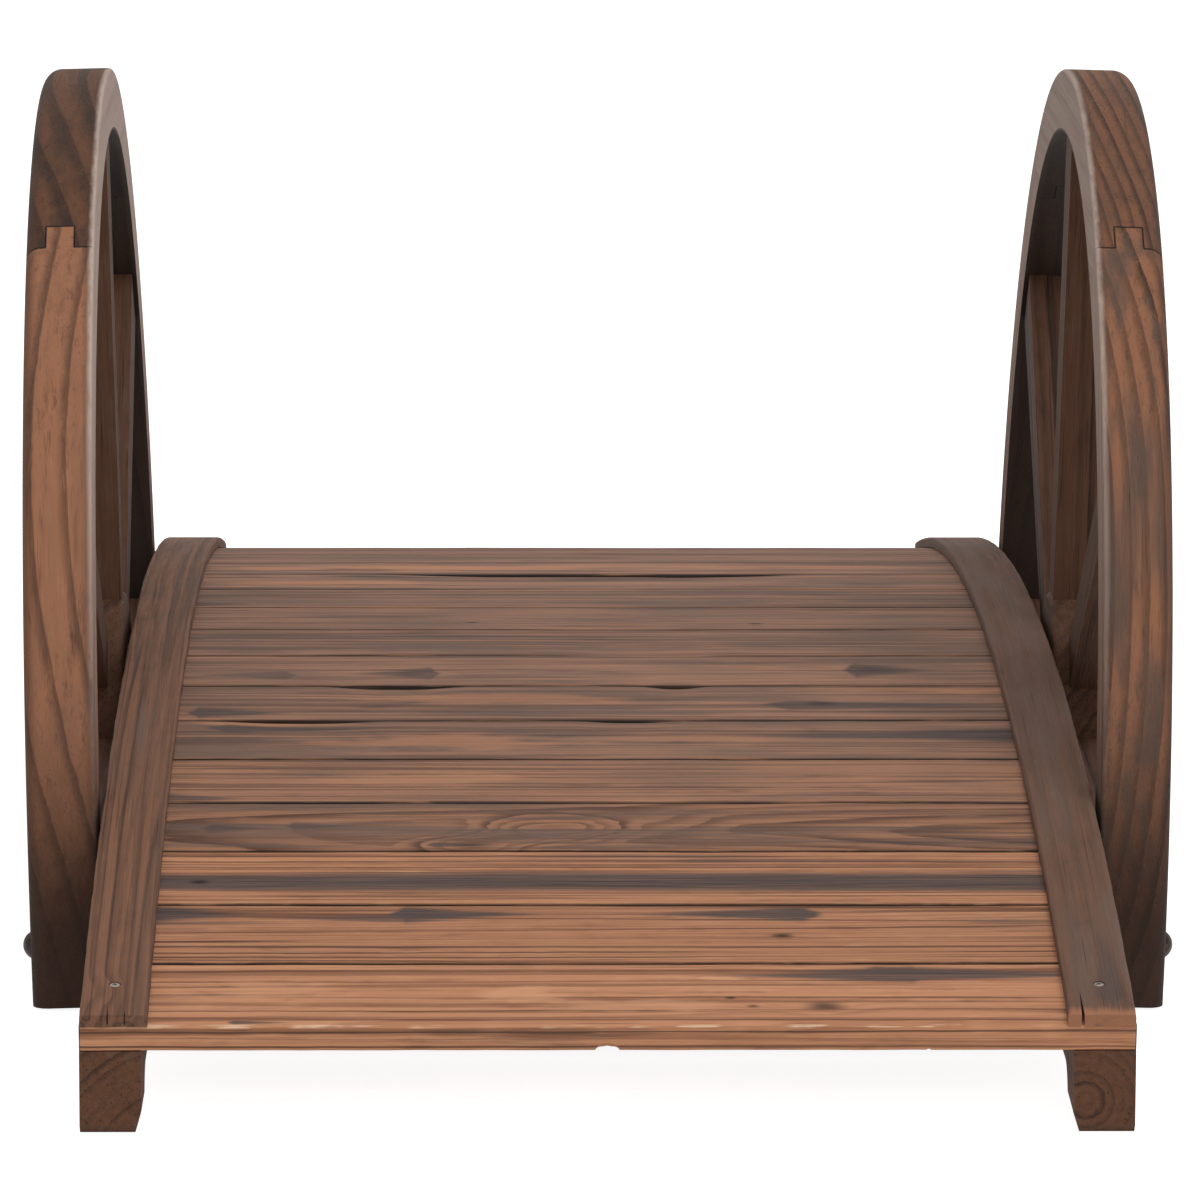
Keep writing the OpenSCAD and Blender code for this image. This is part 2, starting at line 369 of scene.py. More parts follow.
    rough = fine * 0.3 + 0.76 + charred * 0.1
    height = fine * 0.6 + streak * 0.4 - cracks * 0.8 - furrow * 0.5
    normal = f.add("ShaderNodeBump", None, {"Strength": 0.7, "Distance": 0.0012, "Height": height})
    sockets = {"Base Color": body, "Roughness": rough, "Normal": normal}
    sockets["Specular IOR Level"] = 0.2
    return f.close(f.add("ShaderNodeBsdfPrincipled", None, sockets))


def edge_wear_and_shading(f, body, joint, local, noises, tone, marks):
    """Board marks: dark ends, painted shadow in its joints, lines on its front face, bare wood and a
    painted highlight on its front edge.
    """
    c = bpy.context.scene.bridge_colours
    end, half, top, side = joint
    x, y, z = local
    streak, figure, fine = noises
    body = f.blend(abs(x).rise(end - 1.0, end - 0.3) * 0.7, body, tint(c.umber, 0.6))
    # Painted shadow on the board's sides below its top, in the gaps between boards; the first and last
    # boards get it only on their inner side.
    near = (abs(y) if side == 0 else y * side) + streak * 3.0
    dark = near.rise(half - 2.8, half - 0.6) * z.rise(top + 0.3, top - 1.4)
    body = f.blend(dark * 0.95, body, c.pitch)
    face = y.rise(2.4 - half, 1.4 - half) * z.rise(top - 1.2, top - 2.0)
    for line_z, line_half, strength in marks.get("front", ()):
        line = abs(z - line_z + streak * 3.0).rise(line_half, line_half * 0.3)
        body = f.blend(line * face * strength, body, c.walnut)
    # Bare wood and a painted highlight along the eased top front edge: flax on the front board, the
    # board's worn colour on the others.
    edge = y.rise(3.8 - half, 2.0 - half) * z.rise(top - 2.0, top - 1.0)
    flakes_and_glints = (figure * 0.7 + fine * 0.6 + streak * 0.5).rise(0.02, 0.16)
    bare, strength = (c.flax, 0.8) if "front" in marks else (tone["worn"], 0.35)
    return f.blend(edge * flakes_and_glints * strength, body, bare)


def rim_wear_and_shading(f, body, rim, local, streak, late):
    """Rim marks: dark joints, darker feet, painted shade on the outer corners and the concave inside,
    a painted sheen on the inner face.
    """
    s = bpy.context.scene.bridge_sizes
    c = bpy.context.scene.bridge_colours
    side, pale, seams = rim
    x, y, z = local
    half = s.wheel_thickness / 2 / MM
    inside = (s.wheel_radius - s.wheel_depth) / MM
    point = f.add("ShaderNodeTexCoord", output="Object")
    height = f.add("ShaderNodeSeparateXYZ", None, {0: point}).other(2)
    radius = f.size(f.vector(x, z, 0.0))
    # Painted shade along the rounded outer corners of the rim.
    corner = abs(y + streak * 3.0).rise(half - 8, half - 0.5) * radius.rise(inside + 24, inside + 36)
    body = f.blend(corner * 0.6, body, c.walnut)
    turn = x.maths("ARCTAN2", x, z)
    tongue = s.tongue_width / 2 / MM
    for seam, way in seams:
        arc = (turn - seam) * (way * (s.wheel_radius - s.wheel_depth / 2) / MM)
        shoulder = abs(arc).rise(1.2, 0.3) * abs(y).rise(tongue - 0.6, tongue + 0.4)
        run = arc.rise(-0.6, 0.4) * arc.rise(s.tongue_length / MM + 0.8, s.tongue_length / MM)
        flank = abs(abs(y) - tongue).rise(0.9, 0.2) * run
        tip = abs(arc - s.tongue_length / MM).rise(1.2, 0.3) * abs(y).rise(tongue + 0.6, tongue)
        body = f.blend(shoulder.above(flank).above(tip) * 0.85, body, c.pitch)
    # Painted sheen on the rim's inner face, strongest near the top and scaled per wheel; the grey film
    # of ash is mixed into it.
    face = (y * -side + streak * 2.0).rise(half - 4.6, half - 0.2)
    face = face * height.rise(0.05, 0.42) * (pale + streak)
    weathered = f.blend(late * 0.2 + streak.rise(0.0, 0.35) * 0.25, c.painted_sheen, c.ash)
    body = f.blend(face.maths("MINIMUM", face, 1.0), body, weathered)
    # Painted shade: the rim's concave inner surface is darkened nearly to pitch.
    body = f.blend(radius.rise(inside + 1.2, inside + 0.2) * 0.92, body, c.pitch)
    # Darker towards the bottom of each rim.
    return f.blend((height + streak * 0.07).rise(0.2, 0.04) * 0.92, body, c.peat)


def dress(node, material):
    """Gives a CAD node its finish."""
    node.data.materials.clear()
    node.data.materials.append(material)


def adopt(piece, nodes, material):
    """Puts a finished piece in the place of its CAD nodes."""
    piece.data.materials.clear()
    piece.data.materials.append(material)
    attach(piece, "root")
    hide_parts(*nodes)


def settle(piece):
    """Puts a piece's place into its mesh, with the object at the origin."""
    pick_object(piece)
    bpy.ops.object.transform_apply(location=True, rotation=True, scale=True)


def pick_object(piece):
    bpy.ops.object.select_all(action="DESELECT")
    piece.select_set(True)
    bpy.context.view_layer.objects.active = piece


def start(name):
    """Names the primitive that was just added."""
    piece = bpy.context.active_object
    piece.name = name
    piece.data.name = name
    return piece


def open_mesh(piece, kind):
    pick_object(piece)
    bpy.ops.object.mode_set(mode="EDIT")
    bpy.ops.mesh.select_mode(type=kind)


def close_mesh():
    bpy.ops.object.mode_set(mode="OBJECT")


def pick(piece, kind, test):
    """Selects the verts, edges or faces for which the test holds, in edit mode."""
    bpy.ops.mesh.select_all(action="DESELECT")
    shape = bmesh.from_edit_mesh(piece.data)
    found = [item for item in getattr(shape, kind) if test(item)]
    for item in found:
        item.select_set(True)
    shape.select_flush_mode()
    bmesh.update_edit_mesh(piece.data)
    return len(found)


def runs(axis):
    """A test for edges along one axis."""

    def test(edge):
        way = edge.verts[1].co - edge.verts[0].co
        return abs(way[axis]) > 0.99 * way.length

    return test


def apply(piece, kind, **settings):
    """Adds a modifier, sets it and applies it."""
    pick_object(piece)
    modifier = piece.modifiers.new(kind.title(), kind)
    for key, value in settings.items():
        setattr(modifier, key, value)
    bpy.ops.object.modifier_apply(modifier=modifier.name)


def roughen(piece, way, strength, size, group="", rest=0.0):
    """Moves the surface by a cloud pattern, as sawn and weathered wood is uneven."""
    cloud = bpy.data.textures.new("uneven", "CLOUDS")
    cloud.noise_scale = size
    cloud.noise_depth = 2
    settings = {"texture": cloud, "texture_coords": "GLOBAL", "direction": way}
    apply(piece, "DISPLACE", strength=strength, mid_level=rest, vertex_group=group, **settings)


def dent(piece, test, shift, reach):
    """Pushes the picked points, and those around them less and less."""
    open_mesh(piece, "VERT")
    if not pick(piece, "verts", test):
        raise RuntimeError("nothing to dent on " + piece.name)
    bpy.ops.transform.translate(
        value=shift,
        use_proportional_edit=True,
        proportional_edit_falloff="SMOOTH",
        proportional_size=reach,
    )
    close_mesh()


def cut(piece, tool):
    """Cuts a tool's shape out of a piece, and removes the tool."""
    apply(piece, "BOOLEAN", operation="DIFFERENCE", object=tool, solver="EXACT")
    bpy.data.objects.remove(tool)


def smooth(piece):
    pick_object(piece)
    bpy.ops.object.shade_smooth_by_angle(angle=math.radians(40))


def deck_arc():
    """Radius of the boards' top faces, height of its centre, half of its angle."""
    s = bpy.context.scene.bridge_sizes
    half = s.deck_length / 2
    radius = (half * half + s.deck_rise * s.deck_rise) / (2 * s.deck_rise)
    return radius, s.deck_end + s.deck_rise - radius, math.asin(half / radius)


def wheel_axes(side, angle):
    """The frame of a straight-grained piece of a wheel: its grain runs square to a radius at
    this angle, its crosswise axis points to the right, its upright one along the radius."""
    s = bpy.context.scene.bridge_sizes
    lean = s.wheel_lean * side
    up = Vector((math.sin(lean), 0, math.cos(lean)))
    back = Vector((0, 1, 0))
    radial = back * math.cos(angle) + up * math.sin(angle)
    along = up * math.cos(angle) - back * math.sin(angle)
    turn = Matrix((along, radial.cross(along), radial)).transposed().to_euler()
    face = FIRST_BOARD[1].x + s.wheel_height * math.sin(s.wheel_lean)
    return axes((side * (face + s.wheel_thickness / 2), 0, s.wheel_height), tuple(turn))


# Marks on the boards, in mm from the middle of each. Streaks: wide end, tip, place across, half width,
# strength. Knots: place along and across, radius, pull on the rings, darkness. Front lines: height,
# half width, strength. Lines: place across, half width, strength, lean. Pale spots: place along and
# across, half length, half width, strength.
BOARD_MARKS = {
    1: {
        "level": 1.02,
        "streaks": [(170, 60, 26, 13, 1.0), (150, 310, 27, 12, 1.0), (-205, -176, -36, 3, 0.9)],
        "knots": [(120, -15, 6, 0.9, 0.8), (80, -15, 2.2, 0.4, 0.8), (68, -4, 1.8, 0.3, 0.9)],
        "front": [(3.8, 0.8, 0.7), (-0.6, 0.4, 0.3), (-5.2, 0.9, 0.6)],
        "lines": [
            (-3, 0.8, 0.5, 0.0),
            (-20, 1.2, 0.8, 0.005),
            (-32, 1.3, 0.8, -0.005),
            (32, 1.2, 0.6, 0.0),
        ],
        "pale": [
            (-47, 2, 26, 13, 0.5),
            (58, 22, 32, 3, 0.8),
            (20, -14, 60, 10, 0.35),
            (-190, 4, 50, 18, 0.3),
        ],
        "furrow": 0.5,
    },
    2: {
        "level": 0.87,
        "streaks": [
            (-258, -196, 29, 16, 1.0),
            (-112, -44, 28, 14, 1.0),
            (-112, -200, 22, 6, 0.8),
            (112, 20, 28, 11, 1.0),
        ],
        "knots": [(100, -3, 3.6, 0.7, 0.9)],
        "lines": [
            (6, 1.4, 0.7, 0.02),
            (-9, 1.6, 0.85, 0.01),
            (-19, 2.0, 0.9, 0.0),
            (-27, 1.6, 0.9, 0.004),
            (-34, 1.1, 0.7, 0.0),
        ],
    },
    3: {
        "level": 0.95,
        "streaks": [(330, -2600, -7, 18, 1.0), (60, 330, 27, 4, 0.5)],
        "knots": [(-230, -7, 3.4, 0.3, 1.0)],
        "lines": [(34, 1.3, 0.8, 0), (25, 1.3, 0.7, 0), (16, 1.2, 0.6, 0), (-29, 1.2, 0.7, 0)],
        "pale": [(-112, 10, 24, 1.4, 0.8)],
        "furrow": 0.5,
    },
    4: {
        "level": 0.76,
        "streaks": [
            (-226, -180, -3, 9, 0.6),
            (-178, -138, 1, 8, 0.6),
            (262, 30, -26, 10, 0.6),
            (-96, -60, -32, 4, 0.9),
        ],
        "knots": [(-74, -30, 8, 3.0, 0.5), (-30, -5, 10, 5.0, 0.0), (24, 6, 10, 1.6, 0.0)],
        "furrow": 0.3,
    },
    5: {
        "level": 0.95,
        "streaks": [(-254, -205, -34, 10, 0.8)],
        "pale": [(-110, 4, 70, 18, 0.4), (120, -20, 90, 8, 0.3)],
    },
    6: {
        "streaks": [(250, 60, 10, 16, 0.9), (-222, -125, 25, 10, 0.8)],
        "pale": [(-90, -6, 80, 22, 0.5), (-200, 36, 70, 4, 0.7), (60, 2, 60, 12, 0.3)],
    },
    7: {
        "level": 1.06,
        "streaks": [(120, 250, -6, 12, 0.8), (-240, -180, -25, 14, 0.9)],
        "knots": [(140, -2, 6, 1.6, 0.6)],
        "pale": [(-60, 10, 90, 14, 0.4), (220, 30, 80, 6, 0.6)],
    },
    8: {
        "level": 1.06,
        "streaks": [(-100, -150, -8, 18, 0.8), (-190, -240, -14, 14, 0.6), (165, 220, 2, 22, 0.9)],
        "knots": [(-113, -8, 5, 1.6, 0.4), (176, 1, 8, 1.6, 0.3)],
    },
    9: {"streaks": [(-100, 160, 20, 6, 0.6)]},
    10: {"knots": [(-74, -16, 2.6, 0.4, 1.0), (108, -20, 2.6, 0.4, 1.0)]},
    11: {"streaks": [(-252, -212, -28, 10, 0.8)]},
    12: {"level": 1.2, "streaks": [(-150, 150, 30, 6, 0.7)], "pale": [(-170, -10, 80, 16, 0.6)]},
    13: {"level": 1.28, "pale": [(-120, 0, 160, 24, 0.6), (160, 10, 90, 20, 0.4)]},
    14: {"level": 1.12},
}
# Dents in a board's edges: place along it, edge, face, depth and reach, in m
BOARD_DENTS = {
    6: [(-0.180, 1, 1, 0.0016, 0.05), (0.020, 1, 1, 0.001, 0.03)],
    7: [(-0.120, 1, 1, 0.0018, 0.04), (0.050, 1, 1, 0.0016, 0.02)],
    9: [(0.030, -1, 1, 0.0012, 0.06)],
    12: [(-0.020, 1, 1, 0.002, 0.11), (0.090, 1, 1, 0.0016, 0.06)],
}
# Chips in a board's lower front edge: place along the board and radius, in m
BOARD_CHIPS = {1: [(-0.0035, 0.0036), (-0.0005, 0.0043), (0.0026, 0.0037), (0.176, 0.0013)]}
# The board whose rings turn into a swirl
SWIRL_BOARD = 4
SWIRL_TONE = {"grey": 0.45, "char": 0.45, "even": 0.5, "lines": 0.25, "contrast": 0.9}
SWIRL_GRAIN = {"pith": (-8, -60), "spacing": 5.0, "wander": 14, "tilt": (0.0, 0.04), "ragged": 0.3}


class BRIDGE_OT_lay_boards(bpy.types.Operator):
    """Saws, eases and lays the deck boards along their arc"""

    bl_idname = "bridge.lay_boards"
    bl_label = "Lay Deck Boards"

    def execute(self, context):
        s = context.scene.bridge_sizes
        c = context.scene.bridge_colours
        radius, centre, half_angle = deck_arc()
        step = 2 * half_angle / s.board_count
        under = radius - s.board_thickness
        width = 2 * under * math.tan(step / 2) - s.board_joint
        chance = random.Random(18)
        for number in range(1, s.board_count + 1):
            board = self.saw(s, number, width)
            turn = half_angle - (number - 0.5) * step
            middle = under + s.board_thickness / 2
            place = (0, -math.sin(turn) * middle, centre + math.cos(turn) * middle)
            board.location = place
            board.rotation_euler = (turn, 0, 0)
            roughen(board, "Y", 0.0014, 0.035, "front edge")
            roughen(board, "Y", -0.0014, 0.03, "back edge")
            roughen(board, "Z", 0.0008, 0.11, "top", 1.0)
            settle(board)
            smooth(board)
            material = self.finish(s, c, number, place, turn, width, chance)
            adopt(board, [f"plank_{number:02d}"], material)
        return {"FINISHED"}

    def saw(self, s, number, width):
        """One board, flat and centred, with eased and chipped edges."""
        bpy.ops.object.select_all(action="DESELECT")
        bpy.ops.mesh.primitive_cube_add(size=1)
        board = start(f"board_{number:02d}")
        board.scale = (s.board_length, width, s.board_thickness)
        settle(board)
        open_mesh(board, "EDGE")
        pick(board, "edges", runs(0))
        bpy.ops.mesh.subdivide(number_cuts=119)
        pick(board, "edges", runs(1))
        bpy.ops.mesh.subdivide(number_cuts=7)
        top, side = s.board_thickness / 2 - 1e-5, width / 2 - 1e-5

        def upper_edge(edge):
            return all(v.co.z > top and abs(v.co.y) > side for v in edge.verts)

        def lower_edge(edge):
            return all(v.co.z < -top and abs(v.co.y) > side for v in edge.verts)

        pick(board, "edges", upper_edge)
        bpy.ops.mesh.bevel(offset=s.board_ease, segments=3, profile=0.6)
        pick(board, "edges", lower_edge)
        bpy.ops.mesh.bevel(offset=s.board_ease * 0.4, segments=1)
        close_mesh()
        for x, end, level, depth, reach in BOARD_DENTS.get(number, []):

            def at_dent(vert):
                near = abs(vert.co.x - x) < max(0.003, reach * 0.25)
                on_edge = vert.co.y * end > width / 2 - 0.0025
                return near and on_edge and vert.co.z * level > 0

            dent(board, at_dent, (0, -end * depth, -level * depth * 0.8), reach)
        for x, size in BOARD_CHIPS.get(number, []):
            bpy.ops.object.select_all(action="DESELECT")
            bpy.ops.mesh.primitive_uv_sphere_add(segments=14, ring_count=8, radius=size)
            chip = start("chip")
            chip.location = (x, -width / 2, -s.board_thickness / 2)
            chip.scale = (1, 1.6, 1)
            settle(chip)
            cut(board, chip)
        groups = [
            ("front edge", lambda co: max(0.0, -2 * co.y / width) ** 6),
            ("back edge", lambda co: max(0.0, 2 * co.y / width) ** 6),
            ("top", lambda co: 1.0 if co.z > 0 else 0.0),
        ]
        for name, weigh in groups:
            group = board.vertex_groups.new(name=name)
            for vert in board.data.vertices:
                group.add([vert.index], weigh(vert.co), "ADD")
        return board

    def finish(self, s, c, number, place, turn, width, chance):
        far = min(1.0, max(0.0, (number - 3) / 3))
        broad = 1 + 0.22 * min(8, max(0, number - 3))
        marks = BOARD_MARKS.get(number, {})
        level = marks.get("level", 1.0)
        grain = {
            "seed": 1.0 + number * 0.61,
            "pith": (chance.choice((-1, 1)) * chance.uniform(30, 120), chance.uniform(-70, -35)),
            "spacing": chance.uniform(2.6, 3.9) * broad,
            "tilt": (chance.uniform(-0.02, 0.02), chance.uniform(-0.03, 0.03)),
            "wander": chance.uniform(5, 11),
            "ragged": 0.4,
            "broad": broad,
            "patch": 16 + 34 * far,
        }
        tone = {
            "pale": tint(c.honey, level, c.dun, far),
            "dark": tint(c.russet, level, c.umber, far),
            "worn": tint(c.wheat, level, c.honey, far),
            "contrast": 0.42 + 0.18 * far,
            "stripe": 1 - 0.6 * far,
            "patchy": 0.4 + 0.35 * far,
            "grey": 0.1 + 0.2 * far,
            "char": 0.15 + 0.25 * far,
            "lines": 0.32 - 0.07 * far,
            "streaky": 0.45 - 0.07 * far,
            "furrow": marks.get("furrow", 0.75 - 0.2 * far),
            "ridge": 11.0 if number < 4 else 7.0 * broad,
            "stain": 0.6 * far,
        }
        if number == SWIRL_BOARD:
            tone.update(SWIRL_TONE)
            grain.update(SWIRL_GRAIN)
        side = {1: 1, s.board_count: -1}.get(number, 0)
        return fir(
            f"deck wood {number:02d}",
            axes(place, (turn, 0, 0)),
            grain,
            tone,
            marks,
            (s.board_length / 2 / MM, width / 2 / MM, s.board_thickness / 2 / MM, side),
        )


SLAT_GRAIN = {
    "left": (
        {"seed": 41.3, "pith": (130, -60), "spacing": 8.0, "wander": 12, "run": 190},
        {
            "level": 0.6,
            "warm": 0.65,
            "contrast": 0.5,
            "even": 0.3,
            "lines": 0.45,
            "grey": 0.1,
            "char": 0.05,
            "stain": 0.2,
            "furrow": 0.45,
            "ridge": 9.0,
        },
        {"knots": [(-736, -5, 5, 0.7, 0.15)]},
    ),
    "right": (
        {"seed": 47.9, "pith": (-160, -60), "spacing": 11.0, "wander": 8},
        {
            "level": 0.44,
            "warm": 0.2,
            "contrast": 0.5,
            "even": 0.3,
            "lines": 0.4,
            "grey": 0.2,
            "char": 0.1,
            "stain": 0.6,
        },
        {"streaks": [(-742, -640, 6, 9, 0.7)], "bare": (-764, -754, 0.9)},
    ),
}


class BRIDGE_OT_bend_slats(bpy.types.Operator):
    """Bends the edge slats over the boards' ends, and splits and screws their ends"""

    bl_idname = "bridge.bend_slats"
    bl_label = "Bend Edge Slats"

    def execute(self, context):
        s = context.scene.bridge_sizes
        c = context.scene.bridge_colours
        radius, centre, half_angle = deck_arc()
        step = 2 * half_angle / s.board_count
        inner = radius / math.cos(step / 2) + 0.0001
        for name, side in SIDES.items():
            middle = side * (SLAT[0].x + SLAT[1].x) / 2
            slat = self.bend(s, name, middle, inner, centre, half_angle)
            self.split(s, slat, side, inner, centre, half_angle)
            for end in (-1, 1):
                self.screw(s, c, slat, name, middle, end, inner + s.slat_thickness, centre)
            smooth(slat)
            grain, tone, marks = SLAT_GRAIN[name]
            level = tone["level"]
            colours = {
                "pale": tint(c.dun, level, c.cinnamon, tone["warm"]),
                "dark": tint(c.umber, level * 0.7),
                "worn": tint(c.honey, level * 0.9),
            }
            read = arc_axes(middle, centre, inner)
            material = fir(f"{name} slat wood", read, grain, {**tone, **colours}, marks)
            adopt(slat, [f"{name}_edge_strip"], material)
        return {"FINISHED"}

    def bend(self, s, name, middle, inner, centre, half_angle):
        """A slat: its section with eased corners, spun about the deck's centre line."""
        bpy.ops.object.select_all(action="DESELECT")
        bpy.ops.mesh.primitive_plane_add(size=1)
        slat = start(f"{name}_slat")
        section = Matrix.Rotation(math.pi / 2, 4, "X") @ Matrix.Diagonal(
            (s.slat_width, s.slat_thickness, 1, 1)
        )
        rise = Matrix.Translation((middle, 0, inner + s.slat_thickness / 2))
        end = Matrix.Translation((0, 0, centre)) @ Matrix.Rotation(half_angle, 4, "X")
        slat.matrix_world = end @ rise @ section
        settle(slat)
        open_mesh(slat, "VERT")

        def upper(vert):
            return math.hypot(vert.co.y, vert.co.z - centre) > inner + s.slat_thickness / 2

        pick(slat, "verts", upper)
        bpy.ops.mesh.bevel(offset=s.slat_thickness / 4, segments=3, affect="VERTICES")
        bpy.ops.mesh.select_mode(type="EDGE")
        pick(slat, "edges", lambda edge: edge.calc_length() > s.slat_width * 0.8)
        bpy.ops.mesh.subdivide(number_cuts=7)
        bpy.ops.mesh.select_mode(type="FACE")
        bpy.ops.mesh.select_all(action="SELECT")
        bpy.ops.mesh.spin(steps=160, angle=2 * half_angle, center=(0, 0, centre), axis=(1, 0, 0))
        bpy.ops.mesh.select_all(action="SELECT")
        bpy.ops.mesh.remove_doubles(threshold=1e-6)
        bpy.ops.mesh.normals_make_consistent(inside=False)
        close_mesh()
        group = slat.vertex_groups.new(name="edges")
        for vert in slat.data.vertices:
            weight = (abs(vert.co.x - middle) / (s.slat_width / 2)) ** 6
            group.add([vert.index], weight, "ADD")
        roughen(slat, "X", 0.0012 * (-1 if middle > 0 else 1), 0.03, "edges")
        return slat

    def split(self, s, slat, side, inner, centre, half_angle):
        """Short splits that run in from the slat's front end."""
        splits = {
            1: [(0.2602, 0.032, 0.0017)],
            -1: [(0.2648, 0.007, 0.0006), (0.2742, 0.012, 0.0008)],
        }
        reach = inner + s.slat_thickness / 2
        for x, run, width in splits[side]:
            bpy.ops.object.select_all(action="DESELECT")
            bpy.ops.mesh.primitive_cone_add(vertices=3, radius1=1, radius2=1, depth=1)
            wedge = start("split")
            narrow = Matrix.Diagonal((width / 1.73, run / 1.5, s.slat_thickness * 1.5, 1))
            turn = half_angle - run * 0.3 / reach
            out = Matrix.Translation((side * x, 0, reach))
            wedge.matrix_world = (
                Matrix.Translation((0, 0, centre)) @ Matrix.Rotation(turn, 4, "X") @ out @ narrow
            )
            settle(wedge)
            cut(slat, wedge)

    def screw(self, s, c, slat, name, middle, end, reach, centre):
        """A countersunk screw with a cross recess, in a shallow hole of the slat."""
        turn = -end * math.asin(s.screw_place / reach)
        seat = Matrix.Translation((0, 0, centre)) @ Matrix.Rotation(turn, 4, "X")
        seat = seat @ Matrix.Translation((middle, 0, reach))
        bpy.ops.object.select_all(action="DESELECT")
        bpy.ops.mesh.primitive_cylinder_add(vertices=32, radius=s.screw_radius * 1.18, depth=0.003)
        hole = start("screw hole")
        hole.matrix_world = seat
        settle(hole)
        cut(slat, hole)
        bpy.ops.object.select_all(action="DESELECT")
        bpy.ops.mesh.primitive_cylinder_add(vertices=32, radius=s.screw_radius, depth=0.0016)
        screw = start(f"{name}_{'front' if end < 0 else 'back'}_screw")
        open_mesh(screw, "FACE")
        pick(screw, "faces", lambda face: face.normal.z > 0.9)
        bpy.ops.mesh.inset(thickness=s.screw_radius * 0.18, depth=0.00025)
        bpy.ops.mesh.inset(thickness=s.screw_radius * 0.4, depth=0.0001)
        close_mesh()
        for quarter in (0, math.pi / 2):
            bpy.ops.object.select_all(action="DESELECT")
            bpy.ops.mesh.primitive_cube_add(size=1)
            recess = start("recess")
            recess.scale = (s.screw_radius * 1.1, s.screw_radius * 0.3, 0.0012)
            recess.location = (0, 0, 0.001)
            recess.rotation_euler = (0, 0, quarter + 0.4)
            settle(recess)
            cut(screw, recess)
        screw.matrix_world = seat @ Matrix.Translation((0, 0, -0.0012))
        settle(screw)
        smooth(screw)
        screw.data.materials.append(steel_finish("dull zinc", c.zinc))
        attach(screw, "root")


def steel_finish(name, bare):
    """Dull steel with rust in its blotches."""
    known = bpy.data.materials.get(name)
    if known:
        return known
    f = Finish(bpy.data.materials.new(name))
    x, y, z = axes((0, 0, 0), (0, 0, 0))(f)
    patch = f.noise(f.vector(x / 3.5, y / 3.5, z / 3.5), 4.0)
    rust = patch.rise(0.5, 0.68)
    body = f.blend(rust * 0.8, bare, bpy.context.scene.bridge_colours.rust)
    bump = f.add("ShaderNodeBump", None, {"Strength": 0.3, "Distance": 0.0003, "Height": patch})
    sockets = {"Base Color": body, "Metallic": 0.85 - rust * 0.7}
    sockets["Roughness"] = 0.42 + rust * 0.4
    sockets["Normal"] = bump
    return f.close(f.add("ShaderNodeBsdfPrincipled", None, sockets))


# Place of the pith, ring spacing, lean of the grain, late growth, level and stain of each rim piece
RIM_GRAIN = {
    "left_rim_top": ((-182, 318), 17.0, (0.0, 0.0), (0.3, 0.85), 0.34, 0.5),
    "left_rim_front": ((-255, 306), 18.0, (0.07, 0.0), (0.6, 0.93), 0.92, 0.2),
    "left_rim_back": ((-240, 330), 11.0, (-0.03, 0.0), (0.4, 0.9), 0.7, 0.3),
    "right_rim_top": ((-274, 319), 7.6, (0.0, 0.0), (0.4, 0.88), 0.52, 0.35),
    "right_rim_front": ((-277, 558), 10.0, (0.02, 0.0), (0.3, 0.88), 0.74, 0.85),
    "right_rim_back": ((250, 340), 12.0, (0.03, 0.0), (0.4, 0.9), 0.7, 0.3),
}
# The radius to which each rim piece's grain is square, as an angle above the back
RIM_ANGLES = {"front": math.radians(150), "top": math.radians(90), "back": math.radians(30)}
RIM_JOINT = math.radians(56.5)
# Joints at each rim piece's ends: angle from its middle, and the way its tongue points
RIM_SEAMS = {
    "front": [(math.pi - RIM_JOINT - RIM_ANGLES["front"], -1)],
    "top": [(RIM_JOINT - RIM_ANGLES["top"], 1), (math.pi - RIM_JOINT - RIM_ANGLES["top"], -1)],
    "back": [(RIM_JOINT - RIM_ANGLES["back"], 1)],
}


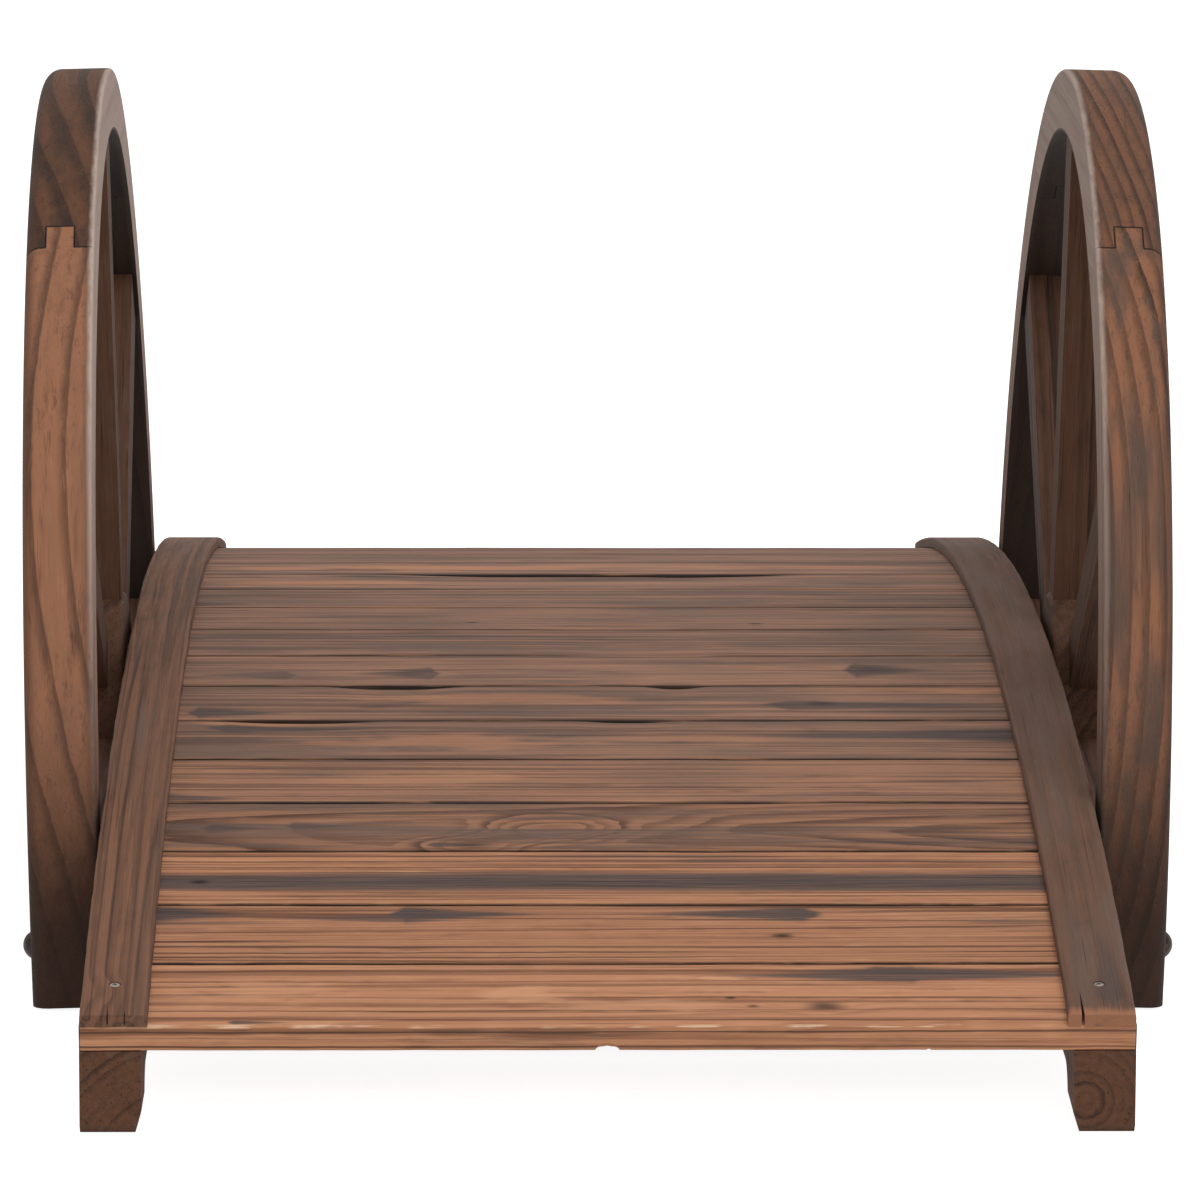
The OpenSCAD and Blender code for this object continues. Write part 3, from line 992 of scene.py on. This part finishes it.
class BRIDGE_OT_finish_wheels(bpy.types.Operator):
    """Finishes the rims, each piece with the straight grain of its own board, and the spokes"""

    bl_idname = "bridge.finish_wheels"
    bl_label = "Finish Wheels"

    def execute(self, context):
        c = context.scene.bridge_colours
        for order, (name, values) in enumerate(RIM_GRAIN.items()):
            pith, spacing, tilt, late, level, stain = values
            side = SIDES[name.split("_")[0]]
            place = name.split("_")[2]
            grain = {
                "seed": 60.0 + order * 2.3,
                "pith": pith,
                "spacing": spacing,
                "tilt": tilt,
                "wander": 6,
                "ragged": 0.16,
            }
            tone = {
                "pale": tint(c.cinnamon, level),
                "dark": tint(c.walnut, level),
                "worn": tint(c.honey, level * 0.85),
                "contrast": 0.95,
                "even": 0.6,
                "late": late,
                "lines": 0.25,
                "cracks": 0.25,
                "stain": stain,
                "stained": tint(c.ash, level * (0.4 if level < 0.4 else 0.9)),
                "grey": -1.2,
                "char": -0.4,
            }
            read = wheel_axes(side, RIM_ANGLES[place])
            # Painted sheen strength on the inner faces: the left wheel is painted as the better lit
            # one.
            rim = (side, 1.15 if side < 0 else 0.85, RIM_SEAMS[place])
            dress(NODES[name], fir(f"{name} wood", read, grain, tone, rim=rim))
        self.finish_spokes(c)
        return {"FINISHED"}

    def finish_spokes(self, c):
        angles = {"front": math.radians(235), "middle": 0.0, "back": math.radians(-55)}
        tone = {
            "pale": tint(c.cinnamon, 0.27),
            "dark": tint(c.walnut, 0.3),
            "worn": tint(c.ash, 0.9),
            "contrast": 0.9,
            "grey": -0.1,
            "char": 0.3,
        }
        for side_name, side in SIDES.items():
            for order, (name, angle) in enumerate(angles.items()):
                grain = {
                    "seed": 80.0 + order * 1.9 + side * 0.7,
                    "pith": (50, -60 + 20 * order),
                    "spacing": 7.0,
                    "wander": 8,
                }
                node = f"{side_name}_spoke_{name}"
                material = fir(f"{node} wood", wheel_axes(side, angle), grain, tone)
                dress(NODES[node], material)
            for order, name in enumerate(("hub", "base_rail")):
                grain = {
                    "seed": 91.0 + order * 2.9 + side * 0.7,
                    "pith": (60, 20),
                    "spacing": 6.5,
                    "wander": 8,
                }
                node = f"{side_name}_{name}"
                read = wheel_axes(side, math.pi / 2)
                dress(NODES[node], fir(f"{node} wood", read, grain, tone))


class BRIDGE_OT_finish_frame(bpy.types.Operator):
    """Finishes the stringers and the coach bolts"""

    bl_idname = "bridge.finish_frame"
    bl_label = "Finish Stringers and Bolts"

    def execute(self, context):
        c = context.scene.bridge_colours
        tone = {
            "pale": tint(c.cinnamon, 0.34),
            "dark": tint(c.walnut, 0.5),
            "worn": tint(c.cinnamon, 0.5),
            "contrast": 0.8,
            "grey": 0.0,
            "char": 0.15,
        }
        for name, side in SIDES.items():
            low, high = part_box(f"{name}_stringer")
            middle = ((low.x + high.x) / 2, 0, 0)
            grain = {
                "seed": 101.0 + side,
                "pith": (11, 19) if side > 0 else (-38, -24),
                "spacing": 5.5,
                "wander": 5,
            }
            read = axes(middle, (0, 0, math.pi / 2))
            dress(NODES[f"{name}_stringer"], fir(f"{name} stringer wood", read, grain, tone))
            for end in ("front", "back"):
                dress(NODES[f"{name}_{end}_bolt"], steel_finish("blackened steel", c.steel))
        return {"FINISHED"}


class BRIDGE_OT_set_stage(bpy.types.Operator):
    """Sets the pale floor, the soft lights, the white surround and the camera"""

    bl_idname = "bridge.set_stage"
    bl_label = "Set Stage"

    def execute(self, context):
        scene = context.scene
        scene.view_settings.view_transform = "Standard"
        self.lay_floor(scene)
        self.light(scene)
        self.aim(scene)
        return {"FINISHED"}

    def seen(self, finish):
        """1 for rays from the camera, and for what is seen in gloss and through glass."""
        path = finish.add("ShaderNodeLightPath", output="Is Camera Ray")
        return path.above(path.other("Is Glossy Ray")).above(path.other("Is Transmission Ray"))

    def lay_floor(self, scene):
        bpy.ops.object.select_all(action="DESELECT")
        bpy.ops.mesh.primitive_plane_add(size=60, location=(0, 0, -0.0005))
        floor = start("floor")
        settle(floor)
        f = Finish(bpy.data.materials.new("pale floor"))
        matt = f.add("ShaderNodeBsdfDiffuse", None, {"Color": (*scene.bridge_colours.floor, 1.0)})
        glow = f.add("ShaderNodeEmission", None, {"Color": (1, 1, 1, 1), "Strength": 0.9})
        lit = f.add("ShaderNodeAddShader", None, {0: matt, 1: glow})
        mixed = f.add("ShaderNodeMixShader", None, {0: self.seen(f), 1: matt, 2: lit})
        floor.data.materials.append(f.close(mixed))

    def light(self, scene):
        world = bpy.data.worlds.new("white surround")
        scene.world = world
        f = Finish(world)
        strength = self.seen(f) * 0.6 + 0.4
        sky = f.add("ShaderNodeBackground", None, {"Color": (1, 1, 1, 1), "Strength": strength})
        f.add("ShaderNodeOutputWorld", None, {"Surface": sky})
        lamps = {"overhead": ((0.7, -1.5, 3.1), 2.4, 54.0), "front": ((0.3, -4.4, 1.7), 2.2, 34.0)}
        for name, (place, size, power) in lamps.items():
            bpy.ops.object.light_add(type="AREA", location=place)
            lamp = bpy.context.active_object
            lamp.name = name
            lamp.data.size = size
            lamp.data.energy = power
            aim = Vector((0, 0, 0.15)) - lamp.location
            lamp.rotation_euler = aim.to_track_quat("-Z", "Y").to_euler()

    def aim(self, scene):
        bpy.ops.object.camera_add()
        camera = bpy.context.active_object
        camera.name = "camera"
        camera.location = (-0.0812, -5.0532, 1.0709)
        camera.rotation_euler = (math.pi / 2 - 0.17794, -0.00324, -0.01707)
        camera.data.sensor_width = 36
        camera.data.lens = 241.36
        camera.data.clip_end = 100
        scene.camera = camera


class BRIDGE_PT_panel(bpy.types.Panel):
    """Sizes, colours and steps of the moon bridge"""

    bl_idname = "BRIDGE_PT_panel"
    bl_label = "Moon Bridge"
    bl_space_type = "VIEW_3D"
    bl_region_type = "UI"
    bl_category = "Moon Bridge"

    def draw(self, context):
        for group in (context.scene.bridge_sizes, context.scene.bridge_colours):
            box = self.layout.box()
            for name in group.__annotations__:
                box.prop(group, name)
        for step in STEPS:
            self.layout.operator(step.bl_idname)


STEPS = (
    BRIDGE_OT_lay_boards,
    BRIDGE_OT_bend_slats,
    BRIDGE_OT_finish_wheels,
    BRIDGE_OT_finish_frame,
    BRIDGE_OT_set_stage,
)
CLASSES = (BridgeSizes, BridgeColours, *STEPS, BRIDGE_PT_panel)


def register():
    for item in CLASSES:
        bpy.utils.register_class(item)
    bpy.types.Scene.bridge_sizes = bpy.props.PointerProperty(type=BridgeSizes)
    bpy.types.Scene.bridge_colours = bpy.props.PointerProperty(type=BridgeColours)


def unregister():
    del bpy.types.Scene.bridge_colours
    del bpy.types.Scene.bridge_sizes
    for item in reversed(CLASSES):
        bpy.utils.unregister_class(item)


def main():
    register()
    bpy.ops.bridge.lay_boards()
    bpy.ops.bridge.bend_slats()
    bpy.ops.bridge.finish_wheels()
    bpy.ops.bridge.finish_frame()
    bpy.ops.bridge.set_stage()


if __name__ == "__main__":
    main()
